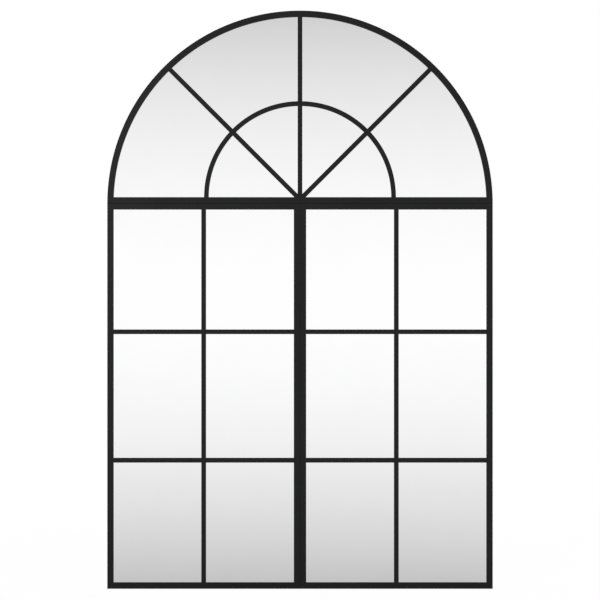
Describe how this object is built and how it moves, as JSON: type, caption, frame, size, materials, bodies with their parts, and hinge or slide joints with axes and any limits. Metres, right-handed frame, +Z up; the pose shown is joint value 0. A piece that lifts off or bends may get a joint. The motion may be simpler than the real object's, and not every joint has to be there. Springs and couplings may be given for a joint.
{
  "type": "arched window mirror",
  "caption": "Tall wall mirror shaped like an arched window: a half-round fanlight with spokes over two leaves with glazing bars, in a black steel frame.",
  "frame": {"origin": "bottom centre of the whole mirror, half way through its depth", "axes": "+X to the viewer's right, +Y towards the wall, +Z up; the mirror faces -Y"},
  "size_m": [1, 0.025, 1.4999],
  "materials": {
    "black_frame": "satin",
    "mirror_glass": "polished",
    "backing_board": "matte",
    "glazing_tape": "matte",
    "zinc_fasteners": "satin"
  },
  "bodies": {
    "root": {"fan_arc_inner_left": "black_frame", "fan_arc_inner_right": "black_frame", "fan_arc_outer_left": "black_frame", "fan_arc_outer_right": "black_frame", "fan_arch_rail": "black_frame", "fan_backing_board": "backing_board", "fan_board_tabs": "black_frame", "fan_glazing_tape": "glazing_tape", "fan_mirror_glass": "mirror_glass", "fan_sill_rail": "black_frame", "fan_spoke_centre": "black_frame", "fan_spoke_left": "black_frame", "fan_spoke_right": "black_frame", "hanger_plate_left": "black_frame", "hanger_plate_right": "black_frame", "left_backing_board": "backing_board", "left_board_tabs": "black_frame", "left_bottom_rail": "black_frame", "left_cross_bar_1_inner": "black_frame", "left_cross_bar_1_outer": "black_frame", "left_cross_bar_2_inner": "black_frame", "left_cross_bar_2_outer": "black_frame", "left_glazing_tape": "glazing_tape", "left_head_rail": "black_frame", "left_meeting_stile": "black_frame", "left_mirror_glass": "mirror_glass", "left_outer_stile": "black_frame", "left_vertical_bar": "black_frame", "mullion_bolts": "zinc_fasteners", "mullion_nuts": "zinc_fasteners", "right_backing_board": "backing_board", "right_board_tabs": "black_frame", "right_bottom_rail": "black_frame", "right_cross_bar_1_inner": "black_frame", "right_cross_bar_1_outer": "black_frame", "right_cross_bar_2_inner": "black_frame", "right_cross_bar_2_outer": "black_frame", "right_glazing_tape": "glazing_tape", "right_head_rail": "black_frame", "right_meeting_stile": "black_frame", "right_mirror_glass": "mirror_glass", "right_outer_stile": "black_frame", "right_vertical_bar": "black_frame", "transom_bolts": "zinc_fasteners", "transom_nuts": "zinc_fasteners"}
  },
  "joints": []
}
